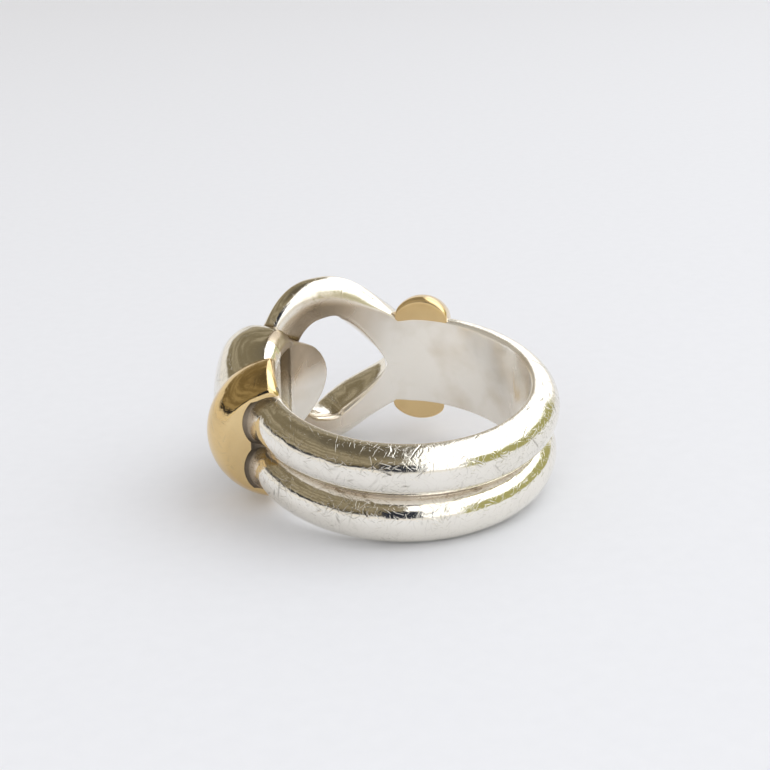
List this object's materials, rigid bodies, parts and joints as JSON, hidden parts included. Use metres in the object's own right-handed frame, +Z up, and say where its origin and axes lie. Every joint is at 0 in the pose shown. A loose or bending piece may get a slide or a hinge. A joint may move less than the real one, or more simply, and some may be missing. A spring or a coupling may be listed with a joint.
{
  "type": "knot ring",
  "caption": "Finger ring of half-round silver rails side by side, its hooked end passed through its open eye, with a gold collar behind each.",
  "frame": {"origin": "centre of the finger hole", "axes": "+Z up with the ring lying on its side as it rests by itself; the finger hole's axis leans 9.9 degrees from +Z, and the knot is on the -X, +Y side"},
  "size_m": [0.023, 0.0228, 0.0127],
  "materials": {
    "silver": "worn polished silver, darkened in the groove",
    "gold": "polished yellow gold"
  },
  "bodies": {
    "root": {"band": "silver", "hook_collar": "gold", "eye_collar": "gold"}
  },
  "joints": []
}
